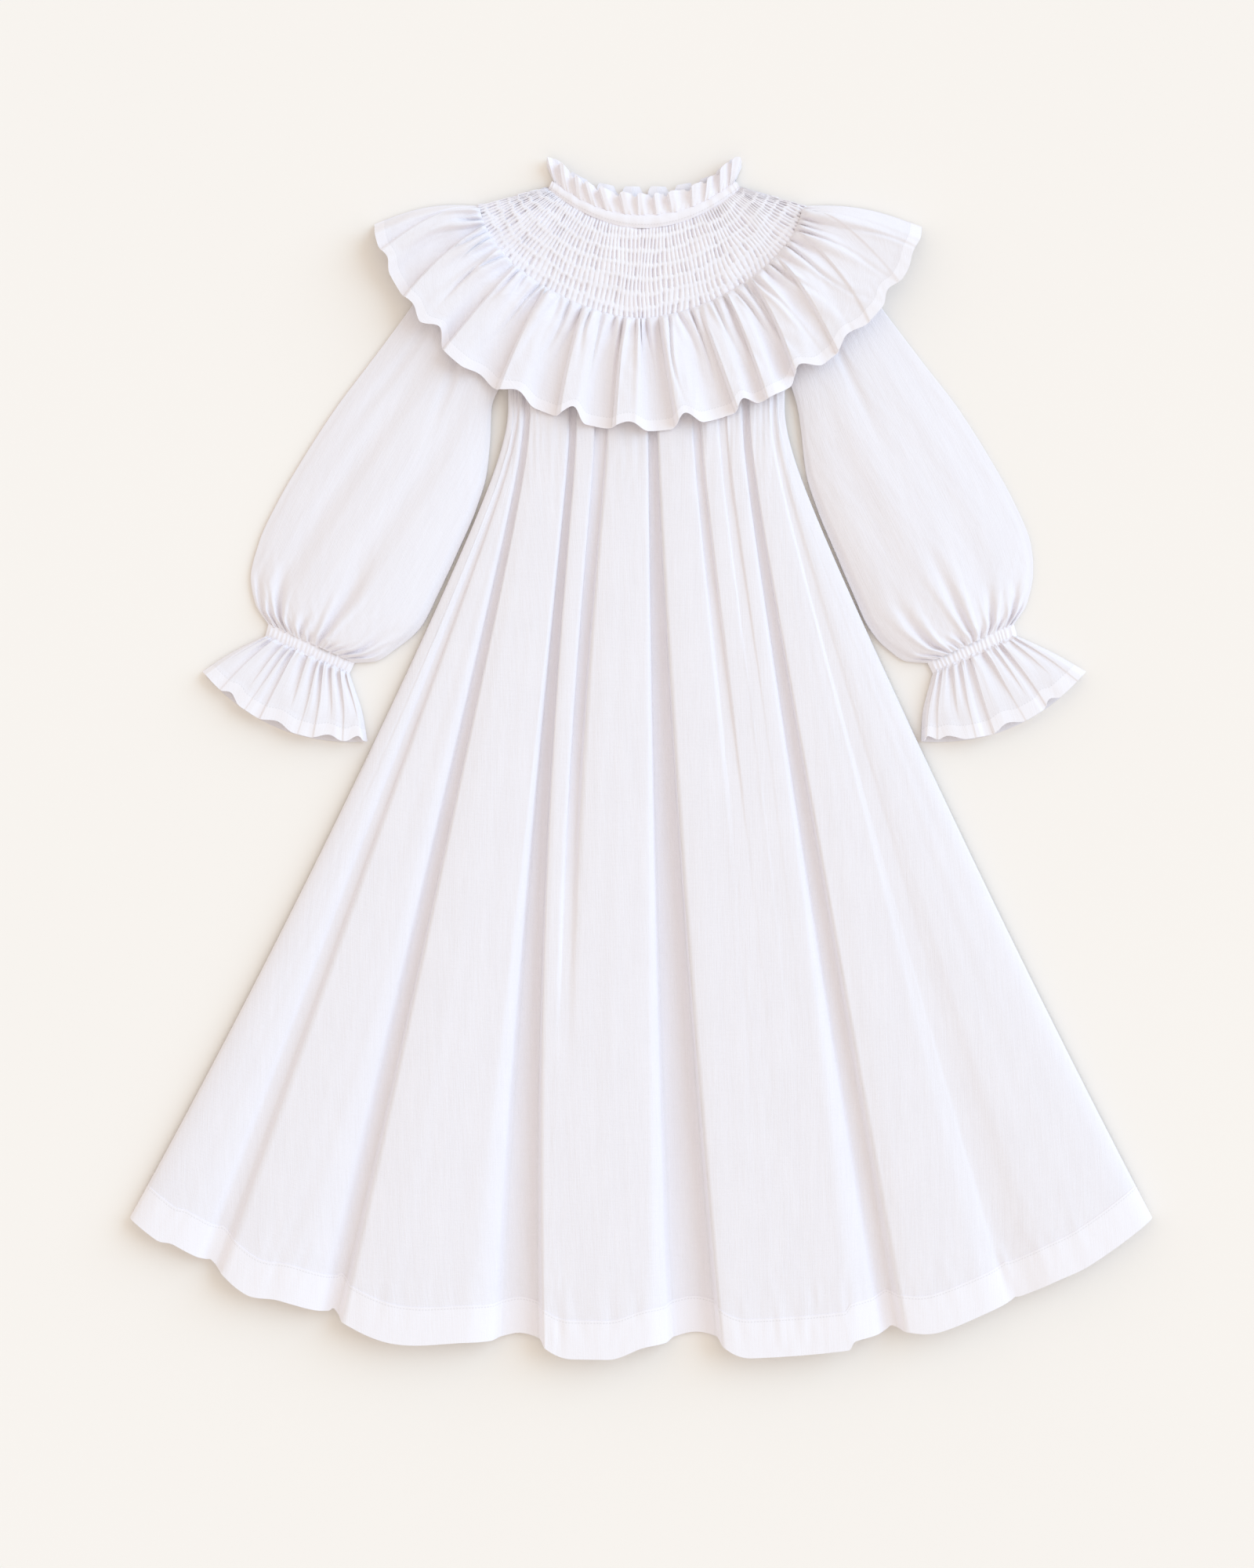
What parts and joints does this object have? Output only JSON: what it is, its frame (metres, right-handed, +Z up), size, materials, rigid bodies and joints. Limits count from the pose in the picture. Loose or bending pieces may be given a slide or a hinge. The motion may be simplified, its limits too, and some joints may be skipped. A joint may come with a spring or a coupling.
{
  "type": "peasant dress",
  "caption": "Child's white cotton peasant dress laid flat, with a smocked yoke, frilled neck, deep ruffle, bishop sleeves with frilled elastic cuffs and a long gathered skirt.",
  "frame": {"origin": "on the table, under the middle of the dress's outline as it lies", "axes": "+X to the right as seen from above, +Y from the hem towards the neck, +Z up from the table"},
  "size_m": [0.7188, 0.8424, 0.0223],
  "materials": {
    "white_cotton": "fine slubby plain-weave cotton, matte",
    "white_cotton_double": "the same cotton doubled, whiter and more opaque"
  },
  "bodies": {
    "root": {"yoke_front": "white_cotton", "yoke_back": "white_cotton", "neck_band_front": "white_cotton_double", "neck_band_back": "white_cotton_double", "neck_frill_front": "white_cotton", "neck_frill_back": "white_cotton", "ruffle_front": "white_cotton", "ruffle_back": "white_cotton", "bodice_front": "white_cotton", "bodice_back": "white_cotton", "skirt_front": "white_cotton", "skirt_back": "white_cotton", "hem_front": "white_cotton_double", "hem_back": "white_cotton_double", "sleeve_left": "white_cotton", "sleeve_right": "white_cotton", "cuff_left": "white_cotton_double", "cuff_right": "white_cotton_double", "cuff_frill_left": "white_cotton", "cuff_frill_right": "white_cotton"}
  },
  "joints": []
}
